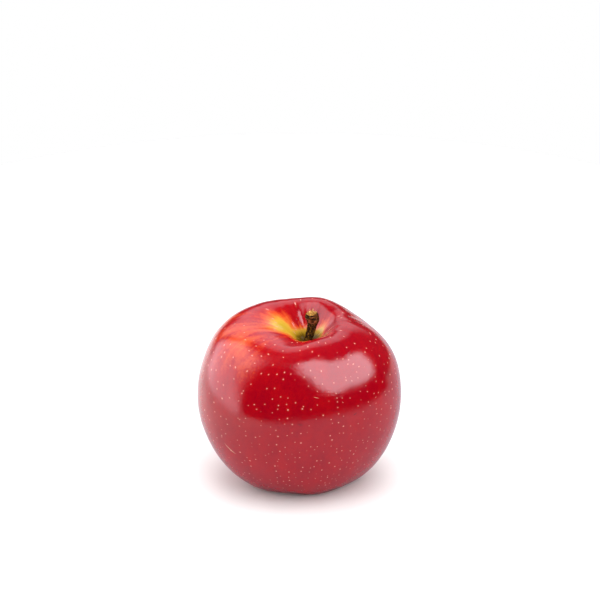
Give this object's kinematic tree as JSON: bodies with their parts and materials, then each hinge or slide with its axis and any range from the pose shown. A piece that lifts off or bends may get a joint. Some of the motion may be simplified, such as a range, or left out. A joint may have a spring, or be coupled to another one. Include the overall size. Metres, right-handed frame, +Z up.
{
  "type": "apple",
  "caption": "Whole red apple with a yellow-green stem cavity, a short woody stem and a dried flower end underneath.",
  "frame": {"origin": "on the surface that the apple rests on, below the middle of the whole apple's outline", "axes": "+Z up along the core, from the flower end to the stem; -Y is the front, +X is the front's right, the side that the stem leans to"},
  "size_m": [0.0788, 0.0714, 0.0695],
  "materials": {
    "skin": "glossy waxed fruit skin, red over yellow-green, with pale dots",
    "bark": "rough brown stem bark, olive towards the base",
    "dried_leaf": "dry, matt, brown-grey",
    "dried_tuft": "dry, matt, dark brown threads"
  },
  "bodies": {
    "root": {"fruit": "skin", "stem": "bark", "sepal_1": "dried_leaf", "sepal_2": "dried_leaf", "sepal_3": "dried_leaf", "sepal_4": "dried_leaf", "sepal_5": "dried_leaf", "stamens": "dried_tuft"}
  },
  "joints": []
}
